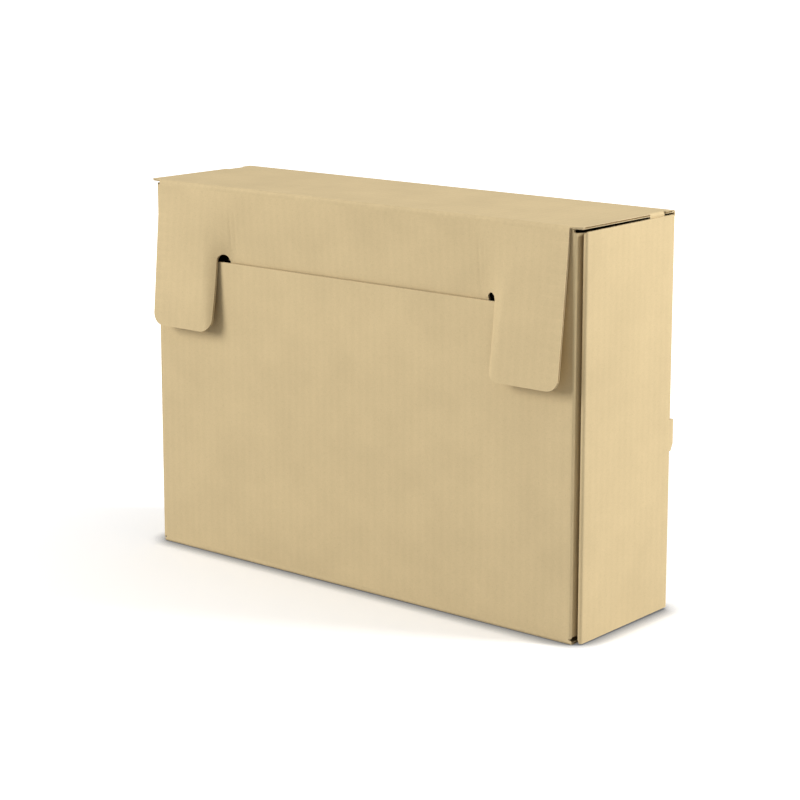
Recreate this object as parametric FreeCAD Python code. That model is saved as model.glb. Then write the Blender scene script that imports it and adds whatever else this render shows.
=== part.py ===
import FreeCAD, Part
import math
import os

# Archival box: one die-cut blank of fine-flute corrugated board, folded up with no glue or staples.
# Each panel between two creases is a piece of its own here. The origin is the middle of the underside,
# +X is to the right seen from the front, -Y is the front and +Z is up. Sizes are in millimetres.

# Driving dimensions of the folded box.
WIDTH = 387.0  # over the two side walls
HEIGHT = 275.0  # from the underside to the top of the lid
DEPTH = 105.0  # from the front panel's face to the back panel's face
BOARD = 1.6  # thickness of the board

# Clearances between pieces.
CREASE_GAP = 0.1  # across a crease that works as a hinge
PLY_GAP = 0.2  # between the plies of a rolled-over side wall
SLIDE_GAP = 0.4  # between panels that slide past each other
FLAP_GAP = 0.3  # between the front panel and the closing flap over it

# Side walls: rolled over at the front, locked through the back panel.
RIM_SETBACK = 4.0  # of the rolled rim behind the front panel's face
SIDE_LIFT = 1.0  # of the outer side wall above the underside
SIDE_DROP = 1.4  # gap between the lid's underside and the outer side wall
RIM_DROP = 2.5  # of the rim and the inner ply below the outer side wall's top edge
RIM_SLANT = 6.5  # how much further back the rim's inner crease is than its outer one
CORNER_RELIEF = 5.0  # height of the relief opening at each bottom front corner
LOCK_HEIGHT = 122.0  # of the middle of the lock above the underside
LOCK_LENGTH = 22.0  # along the back edge
LOCK_FIT = 0.3  # clearance round a lock tab in its slot
FOOT_PROUD = 2.6  # of the outer wall's foot behind the back panel
FOOT_SLOPE = 5.0  # length of the slow lower end of the foot
CORNER_FLAP_RISE = 60.0  # of the captured bottom corner flaps
CORNER_FLAP_SLANT = 12.0

# Front panel: two shoulders beside a wide opening for the tuck tongue.
FRONT_EDGE_DROP = 55.3  # of the opening's edge below the lid's top
NOTCH_CLEARANCE = 1.4  # from the soft bend of the closing flap to a shoulder
NOTCH_RADIUS = 4.0
SHOULDER_RADIUS = 1.5
SIDE_CREASE_WIDTH = 4.0  # of the soft crease to a side flap, where the shoulder's corner is cut away above it
SIDE_FLAP_LENGTH = 65.0
SIDE_FLAP_RADIUS = 6.0
SIDE_FLAP_FOOT = 12.0  # how far the lower back corner of a front side flap is cut up

# Lid, end tabs and closing flap.
LID_INSET = 0.5  # of the lid's ends inside the side walls
END_TAB_WIDTH = 18.0
END_TAB_CLEARANCE = 0.8  # between an end tab's tip and the inner ply, which is cut down below it
END_TAB_DROP = 12.0
END_TAB_FROM_BACK = 10.5
FLAP_INSET = 9.5  # of the closing flap's ends inside the side walls
WING_LEAN = 5.4  # degrees that the flap's ends and ears stand away from the front
HOLE_DIAMETER = 9.0
HOLE_ABOVE_EDGE = 1.5  # of the relief holes' centres above the edge of the front opening
BEND_HALF_WIDTH = 9.0  # of the soft bend over each relief hole
EAR_WIDTH = 58.0
EAR_LENGTH = 51.2  # below the tongue's crease, along the flap
EAR_RADIUS = 9.0
EAR_TAPER = 1.0
TUCK_CLEARANCE = 0.8  # between the front panel's inner face and the flap behind its edge
TONGUE_LENGTH = 28.0
TONGUE_LEAN = 48.0  # degrees from vertical, inward
TONGUE_TAPER = 8.0
TONGUE_RADIUS = 12.0

# Places that follow from the sizes above.
SIDE_X = WIDTH / 2
FRONT_Y = -DEPTH / 2
BACK_Y = DEPTH / 2
RIM_WIDTH = 3 * BOARD + 2 * PLY_GAP
INNER_X = SIDE_X - RIM_WIDTH  # inner face of a rolled-over side wall
PLY_X = SIDE_X - BOARD - PLY_GAP  # outer face of what stands between the plies of a side wall
FRONT_X = INNER_X - SLIDE_GAP  # end of the front panel
LID_UNDER = HEIGHT - BOARD
SIDE_TOP = LID_UNDER - SIDE_DROP
RIM_TOP = SIDE_TOP - RIM_DROP
RIM_Y = FRONT_Y + RIM_SETBACK
FLAP_Y = FRONT_Y - FLAP_GAP - BOARD  # outer face of the closing flap at its crease
FRONT_EDGE = HEIGHT - FRONT_EDGE_DROP
TUCK_Z = FRONT_EDGE + SLIDE_GAP  # level of the tongue's crease
TUCK_Y = FRONT_Y + BOARD + TUCK_CLEARANCE
CENTRE_LEAN = -math.degrees(math.atan2(TUCK_Y - FLAP_Y, HEIGHT - TUCK_Z))
FLAP_X = SIDE_X - FLAP_INSET
EAR_X = FLAP_X - EAR_WIDTH  # inner edge of an ear
HOLE_X = EAR_X - HOLE_DIAMETER / 2
TONGUE_X = HOLE_X - HOLE_DIAMETER / 2
SIDES = {"left": -1, "right": 1}

os.makedirs("parts", exist_ok=True)


def save(shape, name):
    shape.exportStep("parts/" + name + ".step")


def box(x, y, z):
    """A box from three (low, high) pairs, in either order."""
    low = [min(pair) for pair in (x, y, z)]
    size = [max(pair) - min(pair) for pair in (x, y, z)]
    return Part.makeBox(*size, FreeCAD.Vector(*low))


def outline(corners, place):
    """A closed wire with rounded corners, each (u, v) or (u, v, radius). place makes a point of u and v."""
    points = [FreeCAD.Vector(c[0], c[1], 0) for c in corners]
    stretches = []
    for i, corner in enumerate(corners):
        here, before, after = points[i], points[i - 1], points[(i + 1) % len(points)]
        radius = corner[2] if len(corner) > 2 else 0.0
        to_before = (before - here).normalize()
        to_after = (after - here).normalize()
        if not radius:
            stretches.append((here,))
            continue
        half = to_before.getAngle(to_after) / 2
        reach = radius / math.tan(half)
        middle = (to_before + to_after).normalize()
        stretches.append((
            here + to_before * reach,
            here + middle * (radius / math.sin(half) - radius),
            here + to_after * reach,
        ))
    edges = []
    for i, stretch in enumerate(stretches):
        placed = [place(p.x, p.y) for p in stretch]
        if len(placed) == 3:
            edges.append(Part.Arc(*placed).toShape())
        start = stretches[(i + 1) % len(stretches)][0]
        edges.append(Part.LineSegment(placed[-1], place(start.x, start.y)).toShape())
    return Part.Wire(edges)


def sheet(corners, origin, along, up, normal):
    """A flat piece of board: a face through origin along two directions, made BOARD thick along normal."""
    origin, along, up, normal = (FreeCAD.Vector(*v) for v in (origin, along, up, normal))
    wire = outline(corners, lambda u, v: origin + along * u + up * v)
    return Part.Face(wire).extrude(normal * BOARD)


def back_panel():
    """The panel that everything folds from, with a lock slot cut in from each end."""
    panel = box((-SIDE_X, SIDE_X), (BACK_Y - BOARD, BACK_Y), (0, HEIGHT))
    half = LOCK_LENGTH / 2 + LOCK_FIT
    for side in SIDES.values():
        slot = box(
            (side * (INNER_X - LOCK_FIT), side * (SIDE_X + 1)),
            (BACK_Y - 2 * BOARD, BACK_Y + 1),
            (LOCK_HEIGHT - half, LOCK_HEIGHT + half),
        )
        panel = panel.cut(slot)
    return panel


def bottom_panel():
    """Narrower at the front, where the rolled rims stand beside it."""
    front, back = FRONT_Y + BOARD + CREASE_GAP, BACK_Y - BOARD
    step = RIM_Y + RIM_SLANT + BOARD + SLIDE_GAP
    end = PLY_X - BOARD
    corners = [
        (-FRONT_X, front), (FRONT_X, front), (FRONT_X, step), (end, step),
        (end, back), (-end, back), (-end, step), (-FRONT_X, step),
    ]
    return sheet(corners, (0, 0, 0), (1, 0, 0), (0, 1, 0), (0, 0, 1))


def bottom_corner_flap(side):
    """Folded up from the end of the bottom panel and held between the plies of the side wall."""
    front, back = RIM_Y + RIM_SLANT + BOARD + SLIDE_GAP, BACK_Y - BOARD
    corners = [
        (front, 0), (back, 0),
        (back - CORNER_FLAP_SLANT, CORNER_FLAP_RISE, 4), (front + CORNER_FLAP_SLANT, CORNER_FLAP_RISE, 4),
    ]
    return sheet(corners, (side * PLY_X, 0, 0), (0, 1, 0), (0, 0, 1), (-side, 0, 0))


def outer_side_wall(side):
    """Folded forward from the back panel. Its foot, cut from the lock slot, stands out behind the fold."""
    low, high = LOCK_HEIGHT - LOCK_LENGTH / 2, LOCK_HEIGHT + LOCK_LENGTH / 2
    back, proud = BACK_Y - BOARD, BACK_Y + FOOT_PROUD
    corners = [
        (RIM_Y + BOARD, SIDE_LIFT), (back, SIDE_LIFT),
        (back, low), (BACK_Y, low), (proud, low + FOOT_SLOPE, 1), (proud, high, 0.5), (back, high),
        (back, SIDE_TOP), (RIM_Y + BOARD, SIDE_TOP),
    ]
    return sheet(corners, (side * SIDE_X, 0, 0), (0, 1, 0), (0, 0, 1), (-side, 0, 0))


def side_wall_rim(side):
    """The strip between two creases where the side wall rolls over. It slants back across the three plies."""
    back = RIM_Y + RIM_SLANT
    corners = [
        (SIDE_X, RIM_Y + BOARD), (SIDE_X, RIM_Y), (SIDE_X - BOARD, RIM_Y), (INNER_X, back),
        (INNER_X, back + BOARD), (INNER_X + BOARD, back + BOARD), (SIDE_X - BOARD, RIM_Y + BOARD),
    ]
    points = [FreeCAD.Vector(side * x, y, CORNER_RELIEF) for x, y in corners]
    rise = FreeCAD.Vector(0, 0, RIM_TOP - CORNER_RELIEF)
    return Part.Face(Part.makePolygon(points + points[:1])).extrude(rise)


def inner_side_wall(side):
    """The inner ply, with a lock tab that goes through the back panel. Its top is cut down at the back."""
    low, high = LOCK_HEIGHT - LOCK_LENGTH / 2, LOCK_HEIGHT + LOCK_LENGTH / 2
    front, back = RIM_Y + RIM_SLANT + BOARD, BACK_Y - BOARD
    foot = BOARD + SLIDE_GAP
    cut_down = LID_UNDER - END_TAB_DROP - END_TAB_CLEARANCE
    cut_from = tab_span()[0] - END_TAB_CLEARANCE
    corners = [
        (front, CORNER_RELIEF), (front + CORNER_RELIEF, foot), (back, foot),
        (back, low), (BACK_Y, low + 2), (BACK_Y, high - 2), (back, high),
        (back, cut_down), (cut_from, cut_down, 2), (cut_from - (RIM_TOP - cut_down), RIM_TOP, 4),
        (front, RIM_TOP),
    ]
    return sheet(corners, (side * INNER_X, 0, 0), (0, 1, 0), (0, 0, 1), (side, 0, 0))


def front_panel():
    """Hinged at the bottom. The opening between its shoulders lets the tuck tongue in behind it."""
    top, crease_top = LID_UNDER - SLIDE_GAP, SIDE_TOP - BOARD
    notch = HOLE_X + BEND_HALF_WIDTH + NOTCH_CLEARANCE
    shoulder = FRONT_X - SIDE_CREASE_WIDTH
    right = [
        (FRONT_X, 0), (FRONT_X, crease_top), (shoulder, crease_top), (shoulder, top, SHOULDER_RADIUS),
        (notch, top, SHOULDER_RADIUS), (notch, FRONT_EDGE, NOTCH_RADIUS),
    ]
    left = [(-c[0], *c[1:]) for c in reversed(right)]
    return sheet(right + left, (0, FRONT_Y, 0), (1, 0, 0), (0, 0, 1), (0, 1, 0))


def front_side_flap(side):
    """Folded back from the front panel, inside the side wall. Its top stays under the lid as it swings."""
    near, far = BOARD + CREASE_GAP, BOARD + SIDE_FLAP_LENGTH
    reach = LID_UNDER - SLIDE_GAP
    near_top = SIDE_TOP - BOARD
    far_top = math.sqrt(reach**2 - far**2) - SLIDE_GAP
    corners = [
        (near, CORNER_RELIEF), (far - SIDE_FLAP_FOOT, CORNER_RELIEF), (far, CORNER_RELIEF + SIDE_FLAP_FOOT),
        (far, far_top, SIDE_FLAP_RADIUS), (near, near_top),
    ]
    return sheet(corners, (side * FRONT_X, FRONT_Y, 0), (0, 1, 0), (0, 0, 1), (-side, 0, 0))


def tab_span():
    """Where the end tabs stand along the depth, as (front, back)."""
    back = BACK_Y - END_TAB_FROM_BACK
    return back - END_TAB_WIDTH, back


def top_panel():
    """The lid, hinged at the back. Each end tab leaves a notch in its end."""
    end = SIDE_X - LID_INSET
    panel = box((-end, end), (FLAP_Y + BOARD + FLAP_GAP, BACK_Y - BOARD - CREASE_GAP), (LID_UNDER, HEIGHT))
    front, back = tab_span()
    for side in SIDES.values():
        notch = box((side * PLY_X, side * SIDE_X), (front, back), (LID_UNDER - 1, HEIGHT + 1))
        panel = panel.cut(notch)
    return panel


def top_end_tab(side):
    """A small tab folded down from the end of the lid, behind the outer ply of the side wall."""
    front, back = tab_span()
    corners = [
        (front + PLY_GAP, -CREASE_GAP), (back - PLY_GAP, -CREASE_GAP),
        (back - 2, -END_TAB_DROP, 2), (front + 2, -END_TAB_DROP, 2),
    ]
    return sheet(corners, (side * PLY_X, 0, LID_UNDER), (0, 1, 0), (0, 0, 1), (-side, 0, 0))


def down_flap(lean):
    """Where the closing flap leans out by lean, the directions down it and in through it."""
    angle = math.radians(lean)
    return (0, -math.sin(angle), -math.cos(angle)), (0, math.cos(angle), -math.sin(angle))


def flap_section(x, lean, length):
    """The closing flap's cross-section at x, as a closed wire."""
    down, through = (FreeCAD.Vector(*v) for v in down_flap(lean))
    top = FreeCAD.Vector(x, FLAP_Y, HEIGHT)
    inner_top = top + through * BOARD
    inner_top += down * (max(0, inner_top.z - HEIGHT) / -down.z)  # no higher than the lid
    bottom = top + down * length
    return Part.makePolygon([top, bottom, bottom + through * BOARD, inner_top, top])


def closing_flap():
    """Bent softly over each relief hole: its ends lean out over the front panel, its middle leans in."""
    length = (HEIGHT - TUCK_Z) / math.cos(math.radians(CENTRE_LEAN))
    stations = [
        (FLAP_X, WING_LEAN), (HOLE_X + BEND_HALF_WIDTH, WING_LEAN), (HOLE_X - BEND_HALF_WIDTH, CENTRE_LEAN),
    ]
    stations = [(-x, lean) for x, lean in stations] + stations[::-1]
    flap = Part.makeLoft([flap_section(x, lean, length) for x, lean in stations], True, True)
    for side in SIDES.values():
        centre = FreeCAD.Vector(side * HOLE_X, FRONT_Y - DEPTH / 4, FRONT_EDGE + HOLE_ABOVE_EDGE)
        flap = flap.cut(Part.makeCylinder(HOLE_DIAMETER / 2, DEPTH / 2, centre, FreeCAD.Vector(0, 1, 0)))
    return flap, length


def ear(side, start):
    """Hangs on outside the front panel, straight on from the end of the closing flap."""
    down, through = down_flap(WING_LEAN)
    tip = start + EAR_LENGTH
    corners = [
        (EAR_X, start), (FLAP_X, start), (FLAP_X - EAR_TAPER, tip, EAR_RADIUS), (EAR_X, tip, EAR_RADIUS),
    ]
    return sheet([(side * c[0], *c[1:]) for c in corners], (0, FLAP_Y, HEIGHT), (1, 0, 0), down, through)


def tongue_crease(length):
    """A point on the tongue's crease, at the inner face of the closing flap."""
    down, through = (FreeCAD.Vector(*v) for v in down_flap(CENTRE_LEAN))
    return FreeCAD.Vector(0, FLAP_Y, HEIGHT) + down * length + through * BOARD


def tuck_tongue(crease):
    """Creased inward from the middle of the closing flap and tucked behind the front panel."""
    down, through = down_flap(-TONGUE_LEAN)
    outward = tuple(-c for c in through)
    half, tip = TONGUE_X, TONGUE_X - TONGUE_TAPER
    corners = [
        (-half, CREASE_GAP), (half, CREASE_GAP),
        (tip, TONGUE_LENGTH, TONGUE_RADIUS), (-tip, TONGUE_LENGTH, TONGUE_RADIUS),
    ]
    return sheet(corners, tuple(crease), (1, 0, 0), down, outward)


save(back_panel(), "back_panel")
save(bottom_panel(), "bottom_panel")
save(front_panel(), "front_panel")
save(top_panel(), "top_panel")

flap_shape, flap_length = closing_flap()
crease_point = tongue_crease(flap_length)
save(flap_shape, "closing_flap")
save(tuck_tongue(crease_point), "tuck_tongue")

for name, sign in SIDES.items():
    save(bottom_corner_flap(sign), name + "_bottom_corner_flap")
    save(outer_side_wall(sign), name + "_outer_side_wall")
    save(side_wall_rim(sign), name + "_side_wall_rim")
    save(inner_side_wall(sign), name + "_inner_side_wall")
    save(front_side_flap(sign), name + "_front_side_flap")
    save(top_end_tab(sign), name + "_top_end_tab")
    save(ear(sign, flap_length), name + "_ear")

print("lid hinge: y", BACK_Y, "z", HEIGHT)
print("closing flap crease: y", FLAP_Y, "z", HEIGHT)
print("tongue crease: y", round(crease_point.y, 3), "z", round(crease_point.z, 3))
print("front panel hinge: y", FRONT_Y, "z", 0)
print("front side flap crease: x", FRONT_X - BOARD, "y", FRONT_Y + BOARD)
print("end tab crease: x", PLY_X - BOARD, "z", LID_UNDER)
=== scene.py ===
import math

import bmesh
import bpy
import numpy as np
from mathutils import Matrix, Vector
from mathutils.geometry import delaunay_2d_cdt


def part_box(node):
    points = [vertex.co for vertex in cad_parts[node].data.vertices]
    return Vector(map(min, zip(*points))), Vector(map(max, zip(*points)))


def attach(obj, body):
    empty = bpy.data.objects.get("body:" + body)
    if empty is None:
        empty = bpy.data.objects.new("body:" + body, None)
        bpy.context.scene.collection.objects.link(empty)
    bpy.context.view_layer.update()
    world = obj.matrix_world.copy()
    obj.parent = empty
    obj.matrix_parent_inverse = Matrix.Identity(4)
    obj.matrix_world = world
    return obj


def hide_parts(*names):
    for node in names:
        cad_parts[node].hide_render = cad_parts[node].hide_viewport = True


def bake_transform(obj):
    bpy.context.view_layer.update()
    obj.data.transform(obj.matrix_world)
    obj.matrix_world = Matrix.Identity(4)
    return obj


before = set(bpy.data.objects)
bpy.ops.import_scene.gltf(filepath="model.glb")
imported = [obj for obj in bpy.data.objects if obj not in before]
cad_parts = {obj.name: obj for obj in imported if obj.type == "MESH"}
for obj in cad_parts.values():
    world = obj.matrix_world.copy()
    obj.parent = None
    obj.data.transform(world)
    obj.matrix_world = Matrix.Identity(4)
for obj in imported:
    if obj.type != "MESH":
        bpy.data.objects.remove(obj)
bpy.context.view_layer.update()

# Archival box, folded from one die-cut blank of fine-flute corrugated kraft board, with no glue or staples.
# Lengths below are millimetres in the frame of the CAD model, and become metres when a mesh is made.
# Each piece is drawn flat, as it lies in the blank, and a function folds its points up.


# --- Back panel -----------------------------------------------------------------------------------
# The panel that the rest of the blank folds from. Two kraft liners with a fluted paper between them, cut
# on a steel-rule die, with a lock slot at each end. It rolls under at the bottom, along a pressed crease.

MM = 0.001
BOARD = 1.6  # thickness of the board
LINER = 0.28  # thickness of each flat paper
CRUSHED = 0.4  # thickness of the flutes where a crease has crushed them
FLUTE_PITCH, FLUTE_PAPER, FLUTE_STEPS = 3.3, 0.18, 8  # pitch, paper's thickness, and points in each wave
FLUTE_SETBACK = 0.12  # of the waved paper behind a cut edge
WORN_EDGE = 1.1  # how far the crushed look of a cut edge reaches in
EDGE_STEP, CLOSEST = 15.0, 0.15  # largest and smallest distance between points along an edge
FOLD_RADIUS = 2.2  # outer radius of a crease
FOLD_LEG = 2.4  # how far a crease piece reaches past the inner corner
LOCK_LOW, LOCK_HIGH, LOCK_FIT = 110.7, 133.3, 0.3  # ends of the lock slot, and its clearance
TOP_INSET = 0.6  # of the back panel's ends beside the lid
PAPER_STEP, PAPER_SPAN = (611.0, 433.0), (1900, 1700)  # each piece shows another part of the paper


def corners_of(node):
    """Lowest and highest corner of a CAD node, in millimetres."""
    low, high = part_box(node)
    return [c / MM for c in low], [c / MM for c in high]


def both_ends(right):
    """The outline of a piece that is alike at both ends, from its right half."""
    return right + [(-c[0], *c[1:]) for c in reversed(right)]


def rounded(corners):
    """Points round an outline of (u, v) or (u, v, radius) corners."""
    points = []
    for i, corner in enumerate(corners):
        here = Vector(corner[:2])
        radius = corner[2] if len(corner) > 2 else 0
        if not radius:
            points.append(tuple(here))
            continue
        back = (Vector(corners[i - 1][:2]) - here).normalized()
        on = (Vector(corners[(i + 1) % len(corners)][:2]) - here).normalized()
        half = back.angle(on) / 2
        centre = here + (back + on).normalized() * radius / math.sin(half)
        start, end = here + back * radius / math.tan(half), here + on * radius / math.tan(half)
        a, b = start - centre, end - centre
        sweep = a.angle_signed(b)
        steps = max(3, int(abs(sweep) * radius ** 0.5 * 3))
        for k in range(steps + 1):
            turn = -sweep * k / steps
            points.append((
                centre.x + a.x * math.cos(turn) - a.y * math.sin(turn),
                centre.y + a.x * math.sin(turn) + a.y * math.cos(turn),
            ))
    return points


def divided(loop, columns, rows):
    """The loop with more points: on every column and row that it crosses, and at least every EDGE_STEP."""
    points = []
    for (u, v), (u2, v2) in zip(loop, loop[1:] + loop[:1]):
        shares = {0.0}
        for lines, a, b in ((columns, u, u2), (rows, v, v2)):
            if abs(b - a) > 1e-6:
                shares.update(t for t in ((c - a) / (b - a) for c in lines) if 0.01 < t < 0.99)
        length = math.hypot(u2 - u, v2 - v)
        parts = int(length / EDGE_STEP + 1)
        shares.update(k / parts for k in range(1, parts))
        last = -1.0
        for t in sorted(shares):
            if (t - last) * length > CLOSEST or t == 0:
                points.append((u + (u2 - u) * t, v + (v2 - v) * t))
                last = t
    return points


def inside(points, loops):
    """Whether each point lies inside the loops, by the even-odd rule."""
    hit = np.zeros(len(points), bool)
    for loop in loops:
        a = np.array(loop)
        b = np.roll(a, -1, 0)
        for (u, v), (u2, v2) in zip(a, b):
            if v != v2:
                hit ^= ((points[:, 1] < v) != (points[:, 1] < v2)) & (
                    points[:, 0] < u + (u2 - u) * (points[:, 1] - v) / (v2 - v))
    return hit


def crossings(loops, axis, line):
    """Where the loops cross a line of constant u (axis 0) or v (axis 1)."""
    found = []
    for loop in loops:
        a = np.array(loop)
        b = np.roll(a, -1, 0)
        cut = (a[:, axis] < line) != (b[:, axis] < line)
        a, b = a[cut], b[cut]
        found += list(a[:, 1 - axis] + (b - a)[:, 1 - axis] * (line - a[:, axis]) / (b - a)[:, axis])
    return found


def from_edge(points, loops):
    """Distance of each point from the nearest edge of the loops."""
    near = np.full(len(points), 1e9)
    for loop in loops:
        a = np.array(loop)
        run = np.roll(a, -1, 0) - a
        for p, r in zip(a, run):
            t = np.clip(((points - p) @ r) / max(r @ r, 1e-12), 0, 1)
            near = np.minimum(near, np.linalg.norm(points - p - t[:, None] * r, axis=1))
    return near


class Plies:
    """Gathers the papers of one piece of board, and makes one mesh of them."""

    def __init__(self):
        self.points, self.flat, self.worn, self.faces, self.papers = [], [], [], [], []

    def add(self, points, flat, worn, faces, paper):
        first = sum(len(p) for p in self.points)
        self.points.append(points)
        self.flat.append(flat)
        self.worn.append(worn)
        self.faces += [tuple(first + i for i in f) for f in faces]
        self.papers += paper if isinstance(paper, list) else [paper] * len(faces)

    def paper(self, loops, place, top, under, columns, rows, joins):
        """A flat paper between two depths in the board. joins are the edges where the board goes on."""
        loops = [divided(loop, columns, rows) for loop in loops]
        flat = [p for loop in loops for p in loop]
        edges, start = [], 0
        for loop in loops:
            edges += [(start + i, start + (i + 1) % len(loop)) for i in range(len(loop))]
            start += len(loop)
        rim = len(edges)
        ring = []
        for loop in loops:
            a = np.array(loop)
            run = np.roll(a, -1, 0) - np.roll(a, 1, 0)
            side = np.stack([-run[:, 1], run[:, 0]], 1) / np.linalg.norm(run, axis=1)[:, None]
            ring += [a + side * WORN_EDGE, a - side * WORN_EDGE]
        ring = np.concatenate(ring)
        ring = ring[inside(ring, loops) & (from_edge(ring, loops) > WORN_EDGE * 0.8)]
        grid = np.array([(u, v) for u in columns for v in rows] or [(1e6, 1e6)], float)
        grid = grid[inside(grid, loops)]
        grid = grid[from_edge(grid, loops) > WORN_EDGE * 1.4] if len(grid) else grid
        given = [Vector(p) for p in flat]
        for axis, lines in ((0, columns), (1, rows)):
            for line in lines:
                cuts = sorted(crossings(loops, axis, line))
                for a, b in zip(cuts[::2], cuts[1::2]):
                    edges.append((len(given), len(given) + 1))
                    ends = [(line, a), (line, b)] if axis == 0 else [(a, line), (b, line)]
                    given += [Vector(p) for p in ends]
        given += [Vector(p) for p in ring] + [Vector(p) for p in grid]
        found, _, tris, source, _, _ = delaunay_2d_cdt(given, edges, [], 0, 1e-3)
        found = np.array([(p.x, p.y) for p in found])
        tris = np.array(tris)
        tris = tris[inside(found[tris].mean(1), loops)]
        at = {i: k for k, group in enumerate(source) for i in group}
        worn = np.zeros(len(found))
        for i in range(len(flat)):
            u, v = flat[i]
            joined = any(abs((u if axis == "u" else v) - value) < 0.02 for axis, value in joins)
            worn[at[i]] = 0.0 if joined else 1.0
        n = len(found)
        points = np.concatenate([place(found[:, 0], found[:, 1], np.full(n, top)),
                                 place(found[:, 0], found[:, 1], np.full(n, under))])
        faces = [tuple(t) for t in tris] + [tuple(n + t[::-1]) for t in tris]
        kinds = [0] * len(faces)
        for a, b in edges[:rim]:
            a, b = at[a], at[b]
            faces.append((a, n + a, n + b, b))
            kinds.append(1)
        self.add(points, np.concatenate([found, found]), np.concatenate([worn, worn]), faces, kinds)

    def flutes(self, loops, place, lines):
        """The waved paper. Its waves run along v, and lines are where it bends on the way."""
        edges = []
        for loop in loops:
            a = np.array(loop)
            edges.append(np.concatenate([a, np.roll(a, -1, 0)], 1))
        u0, v0, u1, v1 = np.concatenate(edges).T
        runs, open_run, count = [], [], 0
        for u in np.arange(u0.min() + 0.25, u0.max() - 0.2, FLUTE_PITCH / FLUTE_STEPS):
            cut = (u0 < u) != (u1 < u)
            ends = np.sort(v0[cut] + (v1[cut] - v0[cut]) * (u - u0[cut]) / (u1[cut] - u0[cut]))
            spans = [(ends[k] + FLUTE_SETBACK, ends[k + 1] - FLUTE_SETBACK)
                     for k in range(0, len(ends) - 1, 2)]
            spans = [s for s in spans if s[1] - s[0] > 0.5]
            if len(spans) != count or not open_run:
                open_run, count = [], len(spans)
                runs.append(open_run)
            open_run.append((u, spans))
        middle = BOARD / 2
        swing = middle - LINER - FLUTE_PAPER / 2 + 0.01
        for run in runs:
            if len(run) < 2 or not run[0][1]:
                continue
            for k in range(len(run[0][1])):
                stations = np.array([[r[1][k][0], *np.clip(lines, *r[1][k]), r[1][k][1]] for r in run])
                width = stations.shape[1]
                u = np.repeat(np.array([r[0] for r in run]), width)
                v = stations.ravel()
                wave = middle + swing * np.cos(2 * math.pi * u / FLUTE_PITCH)
                n = len(u)
                points = np.concatenate([place(u, v, wave - FLUTE_PAPER / 2),
                                         place(u, v, wave + FLUTE_PAPER / 2)])
                flat = np.stack([u, v], 1)
                faces = []
                for i in range(len(run) - 1):
                    for j in range(width - 1):
                        a = i * width + j
                        faces += [(a, a + 1, a + width + 1, a + width),
                                  (n + a, n + a + width, n + a + width + 1, n + a + 1)]
                    for a in (i * width, i * width + width - 1):
                        faces.append((a, a + width, n + a + width, n + a))
                for j in range(width - 1):
                    for a in (j, (len(run) - 1) * width + j):
                        faces.append((a, a + 1, n + a + 1, n + a))
                self.add(points, np.concatenate([flat, flat]), np.zeros(2 * n), faces, 2)

    def mesh(self, name, shift):
        """One object with the flat cut's coordinates as its UV map, and its worn edges as a point value."""
        mesh = bpy.data.meshes.new(name)
        points = np.concatenate(self.points) * MM
        mesh.from_pydata([tuple(p) for p in points], [], self.faces)
        mesh.polygons.foreach_set("material_index", self.papers)
        flat = (np.concatenate(self.flat) + shift) * MM
        loops = np.zeros(len(mesh.loops), int)
        mesh.loops.foreach_get("vertex_index", loops)
        mesh.uv_layers.new(name="blank").data.foreach_set("uv", flat[loops].astype(np.float32).ravel())
        mesh.attributes.new("worn", "FLOAT", "POINT").data.foreach_set(
            "value", np.concatenate(self.worn).astype(np.float32))
        work = bmesh.new()
        work.from_mesh(mesh)
        bmesh.ops.remove_doubles(work, verts=work.verts, dist=1e-6)
        bmesh.ops.dissolve_degenerate(work, edges=work.edges, dist=1e-7)
        bmesh.ops.recalc_face_normals(work, faces=work.faces)
        work.to_mesh(mesh)
        work.free()
        mesh.polygons.foreach_set("use_smooth", [True] * len(mesh.polygons))
        mesh.set_sharp_from_angle(angle=math.radians(28))
        piece = bpy.data.objects.new(name, mesh)
        bpy.context.scene.collection.objects.link(piece)
        return piece


pieces_made = []


def board(name, outline, place, fluted=True, columns=(), rows=(), joins=()):
    """A piece of board from its flat cut. place(u, v, depth) folds it up, with depth 0 at its outer face."""
    loops = [rounded(outline)]
    plies = Plies()
    plies.paper(loops, place, 0, LINER, columns, rows, joins)
    plies.paper(loops, place, BOARD - LINER, BOARD, columns, rows, joins)
    if fluted:
        plies.flutes(loops, place, rows)
    else:
        plies.paper(loops, place, (BOARD - CRUSHED) / 2, (BOARD + CRUSHED) / 2, columns, rows, joins)
    piece = plies.mesh(name, np.array(PAPER_STEP) * len(pieces_made) % PAPER_SPAN)
    for paper in (kraft_liner, cut_liner, flute_paper):
        piece.data.materials.append(paper)
    pieces_made.append(piece)
    return piece


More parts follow.
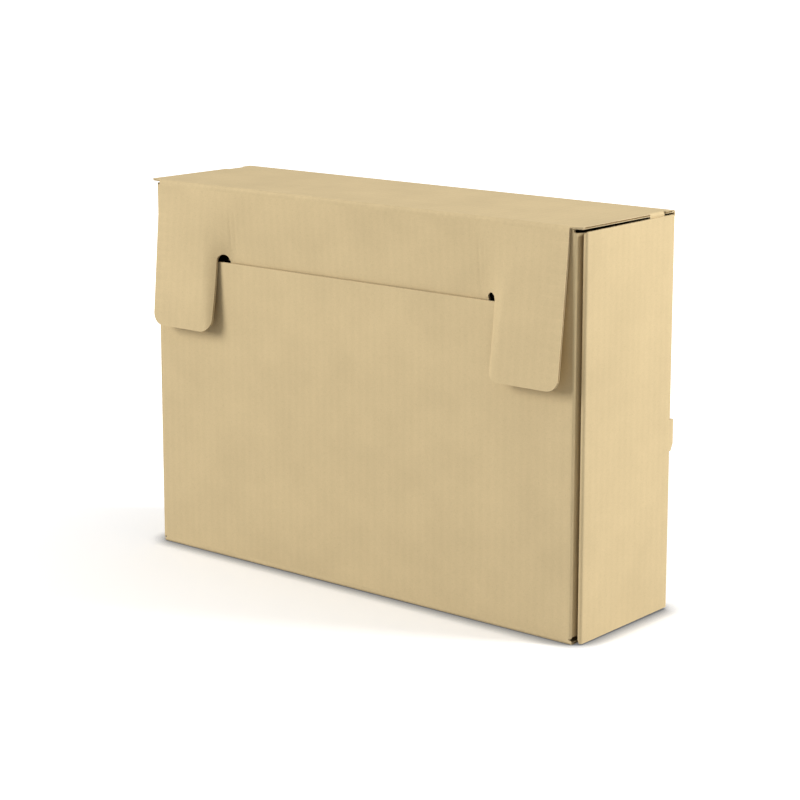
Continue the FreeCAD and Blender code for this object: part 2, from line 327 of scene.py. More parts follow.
def walk(start, heading, legs, inner):
    """A folded line on the board's outer face. legs are (length, degrees turned to the left), and inner is
    +1 where the board's inner side is on the left. Gives at(distance, depth) in the plane of the fold."""
    lengths = np.array([leg[0] for leg in legs], float)
    turns = np.radians([leg[1] for leg in legs])
    starts = np.concatenate([[0], np.cumsum(lengths)[:-1]])
    angles = math.radians(heading) + np.concatenate([[0], np.cumsum(turns)[:-1]])
    spots = [np.array(start, float)]
    for length, turn, angle in zip(lengths, turns, angles):
        if abs(turn) < 1e-9:
            step = length * np.array([math.cos(angle), math.sin(angle)])
        else:
            r = length / turn
            step = r * np.array([math.sin(angle + turn) - math.sin(angle),
                                 math.cos(angle) - math.cos(angle + turn)])
        spots.append(spots[-1] + step)
    spots = np.array(spots)

    def at(distance, depth):
        k = np.clip(np.searchsorted(starts, distance, "right") - 1, 0, len(lengths) - 1)
        on = distance - starts[k]
        angle = angles[k] + turns[k] * on / lengths[k]
        bent = np.abs(turns[k]) > 1e-9
        r = lengths[k] / np.where(bent, turns[k], 1)
        a = np.where(bent, r * (np.sin(angle) - np.sin(angles[k])), on * np.cos(angle))
        b = np.where(bent, r * (np.cos(angles[k]) - np.cos(angle)), on * np.sin(angle))
        return (spots[k, 0] + a - np.sin(angle) * depth * inner,
                spots[k, 1] + b + np.cos(angle) * depth * inner)

    return at


def bend(radius, degrees=90.0):
    """A leg that turns round a crease."""
    return radius * math.radians(abs(degrees)), degrees


def across(start, radius, degrees=90.0, steps=6):
    """Lines to divide a bend at, from where it starts."""
    return list(np.linspace(start, start + bend(radius, degrees)[0], steps + 1))


def nodes_of(material):
    """The material's node tree, empty but for its shader and output."""
    material.use_nodes = True
    tree = material.node_tree
    tree.nodes.clear()
    shader = tree.nodes.new("ShaderNodeBsdfPrincipled")
    output = tree.nodes.new("ShaderNodeOutputMaterial")
    tree.links.new(shader.outputs["BSDF"], output.inputs["Surface"])
    return tree, shader


def node(tree, kind, inputs=(), **settings):
    """A node with its settings, and its inputs set or linked."""
    made = tree.nodes.new(kind)
    for key, value in settings.items():
        setattr(made, key, value)
    for key, value in dict(inputs).items():
        if isinstance(value, bpy.types.NodeSocket):
            tree.links.new(value, made.inputs[key])
        else:
            made.inputs[key].default_value = value
    return made


def ramp(tree, factor, stops):
    """A colour ramp from (position, grey) stops."""
    made = node(tree, "ShaderNodeValToRGB", {"Fac": factor})
    steps = made.color_ramp.elements
    while len(steps) < len(stops):
        steps.new(0.5)
    for step, (position, grey) in zip(steps, stops):
        step.position = position
        step.color = (grey, grey, grey, 1)
    return made.outputs["Color"]


def mixed(tree, how, factor, one, other):
    """Two colours mixed."""
    made = node(tree, "ShaderNodeMix", data_type="RGBA", blend_type=how)
    for key, value in ((0, factor), (6, one), (7, other)):
        if isinstance(value, bpy.types.NodeSocket):
            tree.links.new(value, made.inputs[key])
        else:
            made.inputs[key].default_value = value
    return made.outputs[2]


def paper_material(name, colour, fibre, specks):
    """Unbleached kraft: pulp clouds, crossed fibres, dark specks, and the flutes showing through."""
    material = bpy.data.materials.new(name)
    tree, shader = nodes_of(material)
    cut = node(tree, "ShaderNodeUVMap", uv_map="blank").outputs["UV"]
    clouds = node(tree, "ShaderNodeTexNoise", {"Vector": cut, "Scale": 22, "Detail": 4, "Roughness": 0.6},
                  noise_dimensions="2D")
    along = node(tree, "ShaderNodeMapping", {"Vector": cut, "Scale": (1900, 420, 1)})
    crossed = node(tree, "ShaderNodeMapping",
                   {"Vector": cut, "Scale": (380, 1700, 1), "Rotation": (0, 0, 0.35)})
    fibres = [node(tree, "ShaderNodeTexNoise",
                   {"Vector": m.outputs[0], "Scale": 1, "Detail": 3, "Roughness": 0.65, "Distortion": 0.6},
                   noise_dimensions="2D").outputs["Fac"]
              for m in (along, crossed)]
    weave = node(tree, "ShaderNodeMath", {0: fibres[0], 1: fibres[1]}, operation="ADD").outputs[0]
    weave = node(tree, "ShaderNodeMath", {0: weave, 1: 0.5}, operation="MULTIPLY").outputs[0]
    dots = node(tree, "ShaderNodeTexNoise", {"Vector": cut, "Scale": 620, "Detail": 2, "Roughness": 0.5},
                noise_dimensions="2D").outputs["Fac"]
    shade = ramp(tree, weave, [(0.3, 1 - fibre), (0.7, 1 + fibre)])
    tone = ramp(tree, clouds.outputs["Fac"], [(0.25, 0.955), (0.75, 1.045)])
    speck = ramp(tree, dots, [(0.27, 1 - specks), (0.36, 1.0)])
    made = mixed(tree, "MULTIPLY", 1.0, (*colour, 1), tone)
    made = mixed(tree, "MULTIPLY", 1.0, made, shade)
    made = mixed(tree, "MULTIPLY", 1.0, made, speck)
    lines = node(tree, "ShaderNodeTexWave",
                 {"Vector": cut, "Scale": math.pi / 20 / (FLUTE_PITCH * MM), "Distortion": 0.0},
                 wave_type="BANDS", bands_direction="X")
    made = mixed(tree, "MULTIPLY", 1.0, made, ramp(tree, lines.outputs["Fac"], [(0, 0.988), (1, 1.006)]))
    worn = node(tree, "ShaderNodeAttribute", attribute_name="worn").outputs["Fac"]
    ragged = node(tree, "ShaderNodeMath", {0: worn, 1: clouds.outputs["Fac"]},
                  operation="MULTIPLY").outputs[0]
    lighter = node(tree, "ShaderNodeMath", {0: ragged, 1: 0.35}, operation="MULTIPLY").outputs[0]
    made = mixed(tree, "MIX", lighter, made, tuple(min(1, c * 1.22) for c in colour) + (1,))
    tree.links.new(made, shader.inputs["Base Color"])
    rough = node(tree, "ShaderNodeMapRange", {"Value": weave, "To Min": 0.72, "To Max": 0.92})
    tree.links.new(rough.outputs["Result"], shader.inputs["Roughness"])
    shader.inputs["Specular IOR Level"].default_value = 0.25
    height = node(tree, "ShaderNodeMath", {0: weave, 1: lines.outputs["Fac"]}, operation="ADD").outputs[0]
    bump = node(tree, "ShaderNodeBump", {"Height": height, "Strength": 0.12, "Distance": 0.0002})
    tree.links.new(bump.outputs["Normal"], shader.inputs["Normal"])
    return material


kraft_liner = paper_material("kraft_liner", (0.60, 0.468, 0.262), 0.05, 0.05)
cut_liner = paper_material("cut_liner", (0.66, 0.53, 0.32), 0.12, 0.0)
flute_paper = paper_material("flute_paper", (0.46, 0.34, 0.18), 0.09, 0.15)

back_high = corners_of("back_panel")[1]
BACK_Y, TOP_Z = back_high[1], back_high[2]
END_X = back_high[0]
CORNER_X = END_X - FOLD_RADIUS  # where the back panel's ends start to roll round to the side walls
bottom_high = corners_of("bottom_panel")[1]
slot_x = corners_of("right_inner_side_wall")[0][0] - LOCK_FIT
wall_top = corners_of("right_outer_side_wall")[1][2]

back_fold = walk((BACK_Y - FOLD_RADIUS, 0), 0, [bend(FOLD_RADIUS), (TOP_Z, 0)], 1)
ROLL = bend(FOLD_RADIUS)[0]
ABOVE = ROLL - FOLD_RADIUS  # what a height gains when it is measured along the cut


def on_back(u, v, depth):
    y, z = back_fold(v, depth)
    return np.stack([u, y, z], 1)


back_top = TOP_Z - BOARD - FOLD_LEG
right = [
    (bottom_high[0], 0), (bottom_high[0], ROLL + 0.4), (CORNER_X, ROLL + 1.2),
    (CORNER_X, ABOVE + LOCK_LOW), (slot_x, ABOVE + LOCK_LOW, 0.6), (slot_x, ABOVE + LOCK_HIGH, 0.6),
    (CORNER_X, ABOVE + LOCK_HIGH), (CORNER_X, ABOVE + wall_top + 0.3),
    (END_X - TOP_INSET, ABOVE + back_top - 0.2), (END_X - TOP_INSET, ABOVE + back_top),
]
back_panel = board("back_panel", both_ends(right), on_back, rows=across(0, FOLD_RADIUS),
                   joins=[("u", CORNER_X), ("u", -CORNER_X), ("v", 0), ("v", ABOVE + back_top)])
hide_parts("back_panel")
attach(back_panel, "body")


# --- Bottom panel and its corner flaps ------------------------------------------------------------
# The bottom is folded forward from the back panel. A flap at each end turns up and is held between the
# plies of the side wall, which keeps the bottom square.

FRONT_Y, FRONT_END = corners_of("front_panel")[0][1], corners_of("front_panel")[1][0]
flap_low, flap_high = corners_of("right_bottom_corner_flap")
STEP = 0.3  # between a flap's crease and the cut beside it
TURN_UP = 1.8  # outer radius of the corner flaps' creases
CORNER_SLANT, CORNER_BACK, CORNER_GAP = 12, 3.0, 0.6  # of the corner flaps: upper corners, foot, back edge
END_CUT, END_CUT_IN = 2.0, 1.5  # small slanted cut at each back corner of the bottom
SIDES = (("left", -1), ("right", 1))
bottom_front, bottom_back = FRONT_Y + BOARD + FOLD_LEG, BACK_Y - FOLD_RADIUS
up_x, step_y = flap_high[0] - TURN_UP, flap_low[1]


def on_bottom(u, v, depth):
    return np.stack([u, v, depth], 1)


right = [
    (FRONT_END, bottom_front), (FRONT_END, step_y, 0.5), (up_x, step_y + STEP),
    (up_x, bottom_back - END_CUT), (up_x - END_CUT_IN, bottom_back),
]
bottom_panel = board("bottom_panel", both_ends(right), on_bottom,
                     joins=[("u", up_x), ("u", -up_x), ("v", bottom_back), ("v", bottom_front)])
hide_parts("bottom_panel")
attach(bottom_panel, "body")

turned_up = walk((up_x, 0), 0, [bend(TURN_UP), (80, 0)], 1)
gain = bend(TURN_UP)[0] - TURN_UP  # what a height gains when it is measured along the cut
top = flap_high[2] + gain
outline = [
    (0, step_y + STEP), (0, flap_high[1] - CORNER_BACK), (gain + 2, flap_high[1] - CORNER_GAP),
    (top, flap_high[1] - CORNER_SLANT, 4), (top, step_y + CORNER_SLANT, 4),
]

for side, sign in SIDES:
    def on_corner_flap(u, v, depth):
        x, z = turned_up(u, depth)
        return np.stack([sign * x, v, z], 1)

    corner_flap = board(side + "_bottom_corner_flap", outline, on_corner_flap,
                        columns=across(0, TURN_UP), joins=[("u", 0)])
    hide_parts(side + "_bottom_corner_flap")
    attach(corner_flap, "body")


# --- Side walls -----------------------------------------------------------------------------------
# Each is one strip of the blank: it folds forward from the back panel, rolls over a narrow rim at the
# front, and comes back inside as a second ply. A tab on its end and a foot on its fold lock it in the slot
# at the back. Its bottom is cut away round the rim, and its inner ply is cut down beside the lid's end tab.

wall_low, wall_high = corners_of("right_outer_side_wall")
rim_low, rim_high = corners_of("right_side_wall_rim")
inner_low = corners_of("right_inner_side_wall")[0]
tab_low, tab_high = corners_of("right_top_end_tab")
RIM_RADIUS = 1.8  # of both creases of the rim
FOOT_LOW, FOOT_HIGH, FOOT_SLOPE, FOOT_TAPER = 111.0, 133.0, 5.0, 2.0
WALL_RISE = 0.7  # how much higher the lower edge is at the back than at the front
WALL_DROP = 0.7  # how much lower the top edge is at the front than at the back
RELIEF_LOW, RELIEF_HIGH, RELIEF_INNER = 3.0, 5.0, 5.6  # heights of the cut under the rim, going in
TAB_CLEARANCE = 0.8
rim_in, rim_back = rim_high[0] - rim_low[0] - 2 * RIM_RADIUS, rim_high[1] - BOARD - rim_low[1]
SLANT = math.degrees(math.atan2(rim_back, rim_in + RIM_RADIUS))  # how far the rim leans back
legs = [
    bend(FOLD_RADIUS, -90), (BACK_Y - FOLD_RADIUS - rim_low[1] - RIM_RADIUS, 0),
    bend(RIM_RADIUS, -90 - SLANT), (1, 0), bend(RIM_RADIUS, SLANT - 90), (1, 0),
]


def rim_end():
    """Where the rim's inner crease ends, as x and y."""
    x, y = walk((CORNER_X, BACK_Y), 0, legs, -1)(np.array([sum(leg[0] for leg in legs[:5])]), 0)
    return x[0], y[0]


# The rim's straight part brings its inner crease to the inner ply, and that ply ends at the back panel.
legs[3] = (1 + (rim_end()[0] - rim_low[0]) / math.cos(math.radians(SLANT)), 0)
legs[5] = (BACK_Y - BOARD - rim_end()[1], 0)
rolled = walk((CORNER_X, BACK_Y), 0, legs, -1)
marks = np.concatenate([[0], np.cumsum([leg[0] for leg in legs])])
rim_start, rim_flat, inner_bend, inner_start, wall_end = marks[2:]
cut_down, cut_from = tab_low[2] - TAB_CLEARANCE, tab_low[1] - TAB_CLEARANCE
cut_u = wall_end - BACK_Y + BOARD + cut_from
outline = [
    (0, wall_low[2] + WALL_RISE), (rim_start - 6, wall_low[2], 20), (rim_start + 2.6, wall_low[2], 0.5),
    (rim_start + 3.4, RELIEF_LOW), (rim_flat + 1.5, RELIEF_HIGH), (inner_bend + 0.8, RELIEF_INNER, 1),
    (inner_start + 4, inner_low[2]), (wall_end, inner_low[2]), (wall_end, FOOT_LOW),
    (wall_end + BOARD, FOOT_LOW + FOOT_TAPER, 0.8), (wall_end + BOARD, FOOT_HIGH - FOOT_TAPER, 0.8),
    (wall_end, FOOT_HIGH), (wall_end, cut_down), (cut_u, cut_down, 2),
    (cut_u - rim_high[2] + cut_down, rim_high[2], 4), (rim_flat - 0.3, rim_high[2], 1.2),
    (rim_start + 1.0, wall_high[2] - WALL_DROP, 1.2), (0, wall_high[2]), (0, LOCK_HIGH),
    (ROLL + LOCK_FIT, LOCK_HIGH, 0.4), (ROLL + LOCK_FIT, LOCK_LOW, 0.4), (0, LOCK_LOW),
]
columns = across(0, FOLD_RADIUS)
columns += across(rim_start, RIM_RADIUS, 90 + SLANT, 9) + across(inner_bend, RIM_RADIUS, 90 - SLANT, 4)
foot_y = BACK_Y - FOLD_RADIUS - LOCK_FIT
foot_outline = [
    (foot_y, FOOT_LOW), (BACK_Y, FOOT_LOW), (wall_high[1], FOOT_LOW + FOOT_SLOPE, 1),
    (wall_high[1], FOOT_HIGH, 0.5), (foot_y, FOOT_HIGH),
]

for side, sign in SIDES:
    def on_side_wall(u, v, depth):
        x, y = rolled(u, depth)
        return np.stack([sign * x, y, v], 1)

    side_wall = board(side + "_side_wall", outline, on_side_wall, columns=columns, joins=[("u", 0)])
    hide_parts(side + "_outer_side_wall", side + "_side_wall_rim", side + "_inner_side_wall")
    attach(side_wall, "body")

    def on_foot(u, v, depth):
        return np.stack([sign * (END_X - depth), u, v], 1)

    foot = board(side + "_side_wall_foot", foot_outline, on_foot, joins=[("u", foot_y)])
    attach(foot, "body")


# --- Front panel, its side flaps and their creases ------------------------------------------------
# The front folds up from the bottom. Two shoulders stand beside a wide opening for the tuck tongue, and a
# flap on each end turns back inside the side wall. Its creases are pressed in, and crush the flutes.

SIDE_FOLD = 1.9  # outer radius of the creases to the side flaps
FRONT_EDGE, OPENING_X = 219.7, 131.9  # lower edge and end of the opening
FLAP_FOOT = 12  # how far the side flaps' lower back corners are cut up
side_flap_low, side_flap_high = corners_of("right_front_side_flap")
front_top = corners_of("front_panel")[1][2]
front_bottom = BOARD + FOLD_LEG
shoulder_x, flap_y = FRONT_END - SIDE_FOLD, FRONT_Y + SIDE_FOLD


def on_front(u, v, depth):
    return np.stack([u, FRONT_Y + depth, v], 1)


right = [
    (shoulder_x, front_bottom), (shoulder_x, front_top, 1.0), (OPENING_X, front_top, 1.5),
    (OPENING_X, FRONT_EDGE, 4),
]
front_panel = board("front_panel", both_ends(right), on_front,
                    joins=[("v", front_bottom), ("u", shoulder_x), ("u", -shoulder_x)])
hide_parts("front_panel")
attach(front_panel, "front")

LEG = BOARD + FOLD_LEG - FOLD_RADIUS  # straight part on each side of a crease
FOLD_CUT = 2 * LEG + ROLL  # width of a crease piece in the blank
front_fold = walk((bottom_front, 0), 180, [(LEG, 0), bend(FOLD_RADIUS, -90), (LEG, 0)], -1)


def on_front_crease(u, v, depth):
    y, z = front_fold(v, depth)
    return np.stack([u, y, z], 1)


bottom_crease = board("bottom_front_crease", [
    (-FRONT_END, 0), (FRONT_END, 0), (FRONT_END, FOLD_CUT - 1.8), (shoulder_x + 0.6, FOLD_CUT - 1.0, 0.5),
    (shoulder_x, FOLD_CUT), (-shoulder_x, FOLD_CUT), (-shoulder_x - 0.6, FOLD_CUT - 1.0, 0.5),
    (-FRONT_END, FOLD_CUT - 1.8)], on_front_crease, fluted=False,
    rows=across(LEG, FOLD_RADIUS, steps=8), joins=[("v", 0), ("v", FOLD_CUT)])
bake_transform(bottom_crease)

side_flap_outline = [
    (flap_y, side_flap_low[2]), (side_flap_high[1] - FLAP_FOOT, side_flap_low[2]),
    (side_flap_high[1], side_flap_low[2] + FLAP_FOOT), (side_flap_high[1], side_flap_high[2] - 4.4, 6),
    (flap_y, side_flap_high[2]),
]
side_cut = bend(SIDE_FOLD)[0]
side_crease_outline = [
    (0, front_bottom), (side_cut * 0.7, front_bottom), (side_cut, side_flap_low[2]),
    (side_cut, side_flap_high[2]), (side_cut * 0.3, side_flap_high[2] + 0.6), (0, side_flap_high[2] + 0.6),
]
side_fold = walk((shoulder_x, FRONT_Y), 0, [bend(SIDE_FOLD)], 1)

for side, sign in SIDES:
    def on_side_flap(u, v, depth):
        return np.stack([sign * (FRONT_END - depth), u, v], 1)

    side_flap = board(side + "_front_side_flap", side_flap_outline, on_side_flap, joins=[("u", flap_y)])
    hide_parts(side + "_front_side_flap")
    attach(side_flap, side + "_side_flap")

    def on_side_crease(u, v, depth):
        x, y = side_fold(u, depth)
        return np.stack([sign * x, y, v], 1)

    side_crease = board(side + "_front_side_crease", side_crease_outline, on_side_crease, fluted=False,
                        columns=across(0, SIDE_FOLD, steps=8), joins=[("u", 0), ("u", side_cut)])
    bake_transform(side_crease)


# --- Lid, its end tabs and its back crease --------------------------------------------------------
# The lid folds forward from the top of the back panel. A small tab on each end turns down inside the side
# wall and lines it up. Its flutes run from front to back, so its ends show the side of the last flute.

HINGE_Y = -54.4  # outer corner of the closing flap's crease
TAB_FOLD, TAB_REACH = 1.8, 0.6  # outer radius of the tabs' creases, and how far they reach past the corner
TAB_TAPER = 2.0
lid_end = corners_of("top_panel")[1][0]
lid_front = HINGE_Y + BOARD + FOLD_LEG
lid_back = BACK_Y - BOARD - FOLD_LEG
tab_x, tab_top = tab_high[0] - BOARD - TAB_REACH, TOP_Z - BOARD - TAB_REACH


def on_lid(u, v, depth):
    return np.stack([u, v, TOP_Z - depth], 1)


right = [
    (lid_end, lid_front), (lid_end, tab_low[1], 0.5), (tab_x, tab_low[1]), (tab_x, tab_high[1]),
    (lid_end, tab_high[1], 0.5), (lid_end, lid_back),
]
top_panel = board("top_panel", both_ends(right), on_lid,
                  joins=[("v", lid_front), ("v", lid_back), ("u", tab_x), ("u", -tab_x)])
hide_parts("top_panel")
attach(top_panel, "lid")

lid_fold = walk((BACK_Y, back_top), 90, [(LEG, 0), bend(FOLD_RADIUS), (LEG, 0)], 1)


def on_back_crease(u, v, depth):
    y, z = lid_fold(v, depth)
    return np.stack([u, y, z], 1)


back_crease = board("back_lid_crease", [
    (-END_X + TOP_INSET, 0), (END_X - TOP_INSET, 0), (lid_end, LEG + 1), (lid_end, FOLD_CUT),
    (-lid_end, FOLD_CUT), (-lid_end, LEG + 1)], on_back_crease, fluted=False,
    rows=across(LEG, FOLD_RADIUS, steps=8), joins=[("v", 0), ("v", FOLD_CUT)])
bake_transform(back_crease)

tab_outline = [
    (tab_low[1] + 0.2, tab_top), (tab_low[1] + TAB_TAPER, tab_low[2], 2),
    (tab_high[1] - TAB_TAPER, tab_low[2], 2), (tab_high[1] - 0.2, tab_top),
]
tab_leg = BOARD + TAB_REACH - TAB_FOLD
tab_cut = 2 * tab_leg + bend(TAB_FOLD)[0]
tab_crease_outline = [
    (0, tab_low[1] + 0.1), (tab_cut, tab_low[1] + 0.2), (tab_cut, tab_high[1] - 0.2), (0, tab_high[1] - 0.1),
]
tab_fold = walk((tab_x, TOP_Z), 0, [(tab_leg, 0), bend(TAB_FOLD, -90), (tab_leg, 0)], -1)

for side, sign in SIDES:
    def on_tab(u, v, depth):
        return np.stack([sign * (tab_high[0] - depth), u, v], 1)

    tab = board(side + "_top_end_tab", tab_outline, on_tab, joins=[("v", tab_top)])
    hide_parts(side + "_top_end_tab")
    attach(tab, side + "_end_tab")

    def on_tab_crease(u, v, depth):
        x, z = tab_fold(u, depth)
        return np.stack([sign * x, v, z], 1)

    tab_crease = board(side + "_end_tab_crease", tab_crease_outline, on_tab_crease, fluted=False,
                       columns=across(tab_leg, TAB_FOLD, steps=8), joins=[("u", 0), ("u", tab_cut)])
    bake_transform(tab_crease)


# --- Closing flap, ears and the crease over them --------------------------------------------------
# The flap folds down from the lid's front edge. Its ends go on down as ears outside the front, while its
# middle bends in behind the front's edge, so it twists softly over a round relief hole at each ear's root.

CENTRE_LEAN, WING_LEAN = -4.478, 5.4  # degrees away from the front, in the middle and at the ears
BEND_HALF, BEND_SPREAD = 12.0, 0.5  # the soft bend is narrow at its hole, and wider towards the lid
BEND_OUT, BEND_RELAX = 3.5, 0.11  # it lies outside the hole's middle, and leaves the ear further down
BEND_LIMIT = 60  # distance over which it spreads or relaxes
WRINKLES, WRINKLE_HALF, WRINKLE_DEPTH = (110.5, 115.0), 0.9, 0.22  # fine pressed lines beside each hole
WRINKLE_START, WRINKLE_FADE_IN, WRINKLE_END, WRINKLE_FADE_OUT = 10, 12, 5, 8  # from the lid, above the hole
FLAP_LENGTH, HOLE_DOWN, HOLE_RADIUS = 55.07, 53.9, 4.5
EAR_END, EAR_TAPER, EAR_RADIUS = 106.27, 0.4, 9
FLAP_X = corners_of("closing_flap")[1][0]
EAR_X = corners_of("right_ear")[0][0]
HOLE_X = EAR_X - HOLE_RADIUS
CREASE_START = 1.6  # of the tongue's crease piece, above the crease
flap_fold = walk((lid_front, TOP_Z), 180, [(LEG, 0), bend(FOLD_RADIUS), (200, 0)], 1)
DOWN = FOLD_CUT - BOARD - FOLD_LEG  # distance along the cut, less distance below the lid's top


def on_flap(u, v, depth):
    """v is measured down from the lid's top, along the flap."""
    y, z = flap_fold(v + DOWN, depth)
    half = BEND_HALF + BEND_SPREAD * np.clip(HOLE_DOWN - HOLE_RADIUS - v, 0, BEND_LIMIT)
    middle = HOLE_X + BEND_OUT - BEND_RELAX * np.clip(v - HOLE_DOWN, 0, BEND_LIMIT)
    share = np.clip((np.abs(u) - middle + half) / (2 * half), 0, 1)
    share = share * share * (3 - 2 * share)
    lean = np.radians(CENTRE_LEAN + (WING_LEAN - CENTRE_LEAN) * share)
    lean = lean * np.clip((v + DOWN - LEG) / ROLL, 0, 1)
    pressed = np.clip((v - WRINKLE_START) / WRINKLE_FADE_IN, 0, 1)
    pressed = pressed * np.clip((HOLE_DOWN - WRINKLE_END - v) / WRINKLE_FADE_OUT, 0, 1)
    for wrinkle in WRINKLES:
        y = y + WRINKLE_DEPTH * pressed * np.clip(1 - np.abs(np.abs(u) - wrinkle) / WRINKLE_HALF, 0, 1)
    y, z = y - HINGE_Y, z - TOP_Z
    return np.stack([
        u, HINGE_Y + y * np.cos(lean) + z * np.sin(lean), TOP_Z + z * np.cos(lean) - y * np.sin(lean)], 1)


flap_top = BOARD + FOLD_LEG
flap_edge = FLAP_LENGTH - CREASE_START
hole = [
    (HOLE_X - HOLE_RADIUS * math.cos(a), HOLE_DOWN - HOLE_RADIUS * math.sin(a))
    for a in np.radians(np.arange(0, 181, 15))
]
right = [
    (FLAP_X, flap_top), (FLAP_X - 1, EAR_END, EAR_RADIUS), (EAR_X + EAR_TAPER, EAR_END, EAR_RADIUS),
    (EAR_X, HOLE_DOWN + 4), *reversed(hole), (HOLE_X - HOLE_RADIUS, flap_edge),
]
# The bends are divided finely where they curve, and at each pressed line.
bend_lines = np.concatenate([
    np.linspace(88, 107, 7), *([w - WRINKLE_HALF, w, w + WRINKLE_HALF] for w in WRINKLES),
    np.linspace(118, 140, 12), np.linspace(143, 160, 6),
])
bend_lines = sorted([*bend_lines, *-bend_lines])
closing_flap = board("closing_flap", both_ends(right), on_flap, columns=bend_lines,
                     rows=list(np.linspace(flap_top + 6, EAR_END - 12, 13)),
                     joins=[("v", flap_top), ("v", flap_edge)])
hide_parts("closing_flap", "left_ear", "right_ear")
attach(closing_flap, "flap")

right = [
    (lid_end, -DOWN), (lid_end, LEG + 0.6 - DOWN, 0.6), (FLAP_X, LEG + 2.0 - DOWN, 0.8), (FLAP_X, flap_top),
]
flap_crease = board("lid_flap_crease", [(-lid_end, -DOWN), *both_ends(right)[:-1]], on_flap, fluted=False,
                    columns=bend_lines, rows=[r - DOWN for r in across(LEG, FOLD_RADIUS, steps=8)],
                    joins=[("v", -DOWN), ("v", flap_top)])
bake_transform(flap_crease)


# --- Tuck tongue ----------------------------------------------------------------------------------
# Creased inward from the middle of the closing flap and pushed down behind the front panel, where the
# spring of the board holds the box shut.

TONGUE_X, TONGUE_LENGTH, TONGUE_TAPER, TONGUE_RADIUS = HOLE_X - HOLE_RADIUS, 28.0, 8.0, 12
TONGUE_LEAN = 48.0  # degrees from upright
TONGUE_FOLD = 2.6  # outer radius of its crease
CREASE_END = 1.4  # of the crease piece, below the crease
CREASE_Y, CREASE_Z = -48.505, 220.225  # inner corner of the crease
turn = TONGUE_LEAN + CENTRE_LEAN
tangent = (TONGUE_FOLD - BOARD) * math.tan(math.radians(turn) / 2)
lean = math.radians(CENTRE_LEAN)
tongue_fold = walk(
    (CREASE_Y + math.sin(lean) * CREASE_START - math.cos(lean) * BOARD,
     CREASE_Z + math.cos(lean) * CREASE_START + math.sin(lean) * BOARD),
    270 - CENTRE_LEAN, [(CREASE_START - tangent, 0), bend(TONGUE_FOLD, turn), (40, 0)], 1)
tongue_cut = CREASE_START - tangent + bend(TONGUE_FOLD, turn)[0] + CREASE_END
tip = tongue_cut + TONGUE_LENGTH - tangent - CREASE_END


def on_tongue(u, v, depth):
    y, z = tongue_fold(v, depth)
    return np.stack([u, y, z], 1)


tongue = board("tuck_tongue", [
    (-TONGUE_X, tongue_cut), (TONGUE_X, tongue_cut), (TONGUE_X - TONGUE_TAPER, tip, TONGUE_RADIUS),
    (TONGUE_TAPER - TONGUE_X, tip, TONGUE_RADIUS)], on_tongue, joins=[("v", tongue_cut)])
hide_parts("tuck_tongue")
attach(tongue, "tongue")

tongue_crease = board("flap_tongue_crease", [
    (-TONGUE_X, 0), (TONGUE_X, 0), (TONGUE_X, tongue_cut), (-TONGUE_X, tongue_cut)], on_tongue,
    fluted=False, rows=across(CREASE_START - tangent, TONGUE_FOLD, turn),
    joins=[("v", 0), ("v", tongue_cut)])
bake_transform(tongue_crease)


# --- Studio ---------------------------------------------------------------------------------------
# A white floor and a white room that shade the box little, a soft key from the left, and a second one from
# behind on the right, which leaves the narrow gaps at the box's front corner dark.

ROOM_LIGHT, FLOOR_BOUNCE = 0.42, 0.46  # how bright the room and the floor are for the light on the box
CONTACT_REACH, CONTACT_POWER = 0.014, 2.2  # of the soft shade where the box meets the floor
GLOW_NEAR, GLOW_FAR, GLOW_REACH = 0.12, 0.8, 1.4  # the floor grows whiter away from the box
bpy.ops.mesh.primitive_plane_add(size=60)
floor = bpy.context.object
floor.name = "floor"
floor_colour_and_painted_shade = bpy.data.materials.new("floor_colour_and_painted_shade")
tree, shader = nodes_of(floor_colour_and_painted_shade)
seen = node(tree, "ShaderNodeLightPath").outputs["Is Camera Ray"]
place_on = node(tree, "ShaderNodeTexCoord").outputs["Object"]
grain = node(tree, "ShaderNodeTexNoise", {"Vector": place_on, "Scale": 3, "Detail": 2}).outputs["Fac"]
# Painted shade: ambient occlusion darkens the floor's own colour close to the box, as a painted contact
# shadow.
near = node(tree, "ShaderNodeAmbientOcclusion", {"Distance": CONTACT_REACH}, samples=12).outputs["AO"]
near = node(tree, "ShaderNodeMath", {0: near, 1: CONTACT_POWER}, operation="POWER").outputs[0]
floor_tone_and_painted_shade = mixed(tree, "MULTIPLY", 1.0, ramp(tree, grain, [(0, 0.975), (1, 0.985)]), near)
floor_tone_and_painted_shade = mixed(tree, "MIX", seen, (FLOOR_BOUNCE, FLOOR_BOUNCE, FLOOR_BOUNCE, 1), floor_tone_and_painted_shade)
tree.links.new(floor_tone_and_painted_shade, shader.inputs["Base Color"])
# Painted light: the floor glows for the camera, least next to the box and more away from it, which paints
# shade round the box.
away = node(tree, "ShaderNodeVectorMath", {0: place_on}, operation="LENGTH").outputs["Value"]
glow = node(tree, "ShaderNodeMapRange",
            {"Value": away, "From Min": 0.0, "From Max": GLOW_REACH, "To Min": GLOW_NEAR, "To Max": GLOW_FAR},
            interpolation_type="SMOOTHSTEP").outputs["Result"]
glow = node(tree, "ShaderNodeMath", {0: glow, 1: seen}, operation="MULTIPLY").outputs[0]
shader.inputs["Emission Color"].default_value = (1, 1, 1, 1)
tree.links.new(glow, shader.inputs["Emission Strength"])
shader.inputs["Roughness"].default_value = 0.9
shader.inputs["Specular IOR Level"].default_value = 0.1
floor.data.materials.append(floor_colour_and_painted_shade)

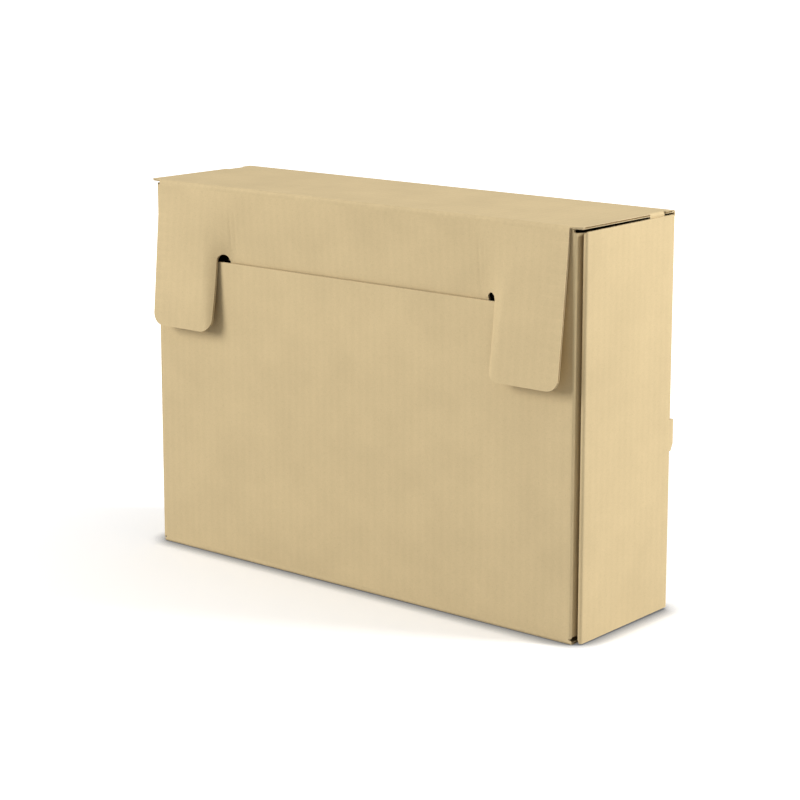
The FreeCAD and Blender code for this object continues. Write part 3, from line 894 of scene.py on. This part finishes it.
world = bpy.data.worlds.new("room")
bpy.context.scene.world = world
world.use_nodes = True
backdrop = world.node_tree.nodes["Background"]
backdrop.inputs["Color"].default_value = (1, 1, 1, 1)
seen = node(world.node_tree, "ShaderNodeLightPath").outputs["Is Camera Ray"]
level = node(world.node_tree, "ShaderNodeMapRange", {"Value": seen, "To Min": ROOM_LIGHT, "To Max": 1.0})
world.node_tree.links.new(level.outputs["Result"], backdrop.inputs["Strength"])


def soft_box(name, place, aim, size, watts):
    """A large soft lamp at place, turned to aim."""
    lamp = bpy.data.lights.new(name, "AREA")
    lamp.shape = "RECTANGLE"
    lamp.size, lamp.size_y = size
    lamp.energy = watts
    holder = bpy.data.objects.new(name, lamp)
    holder.location = place
    holder.rotation_euler = (Vector(aim) - Vector(place)).to_track_quat("-Z", "Y").to_euler()
    bpy.context.scene.collection.objects.link(holder)


soft_box("key_left", (-1.4, -2.3, 1.2), (0, 0, 0.15), (1.5, 1.5), 64)
soft_box("key_right", (2.1, 1.2, 1.15), (0.1, 0, 0.2), (0.8, 1.2), 66)
soft_box("top", (0, 0.2, 2.6), (0, 0, 0.2), (1.6, 1.6), 8)

CAMERA_AIM = Vector((-0.00041, 0, 0.1791))
CAMERA_TURN, CAMERA_RISE, CAMERA_AWAY = math.radians(39.976), math.radians(10.942), 1.5756
camera = bpy.data.cameras.new("camera")
camera.sensor_width, camera.lens = 36, 100.5
camera.shift_y = -0.09  # keeps the uprights nearly parallel
camera.clip_start, camera.clip_end = 0.1, 100
viewer = bpy.data.objects.new("camera", camera)
toward = Vector((math.sin(CAMERA_TURN) * math.cos(CAMERA_RISE),
                 -math.cos(CAMERA_TURN) * math.cos(CAMERA_RISE), math.sin(CAMERA_RISE)))
viewer.location = CAMERA_AIM + toward * CAMERA_AWAY
viewer.rotation_euler = (-toward).to_track_quat("-Z", "Y").to_euler()
bpy.context.scene.collection.objects.link(viewer)
bpy.context.scene.camera = viewer
bpy.context.scene.view_settings.view_transform = "Standard"
